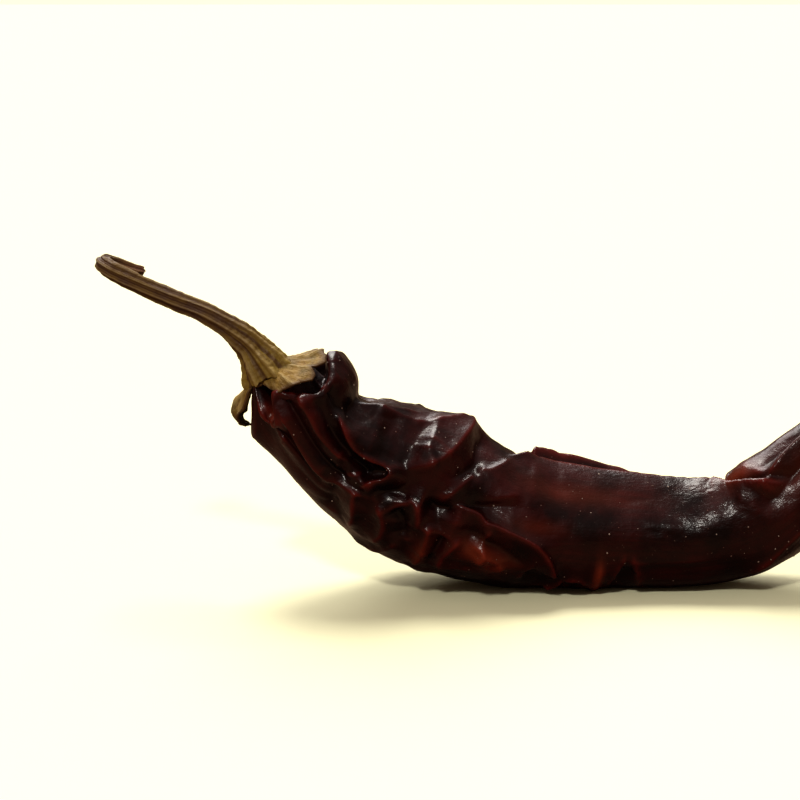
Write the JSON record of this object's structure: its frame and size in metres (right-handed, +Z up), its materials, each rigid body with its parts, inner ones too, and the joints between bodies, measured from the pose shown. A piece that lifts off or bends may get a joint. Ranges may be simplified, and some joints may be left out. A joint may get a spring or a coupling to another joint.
{
  "type": "dried chilli pepper",
  "caption": "Long dried chilli pepper, collapsed and folded, with a papery calyx and a curled stem, lying on its belly.",
  "frame": {"origin": "under the middle of the whole pepper's box, on the surface that it lies on", "axes": "+X along the pepper from its stem to its tip, +Y away from the side with the deepest folds, +Z up"},
  "size_m": [0.1812, 0.0328, 0.0707],
  "materials": {
    "pod_skin": "glossy, nearly black maroon dried skin with red where it is thin",
    "dry_calyx": "matt papery olive tan",
    "dry_stem": "matt ribbed olive brown"
  },
  "bodies": {
    "root": {"pod": "pod_skin", "calyx": "dry_calyx", "stem": "dry_stem"}
  },
  "joints": []
}
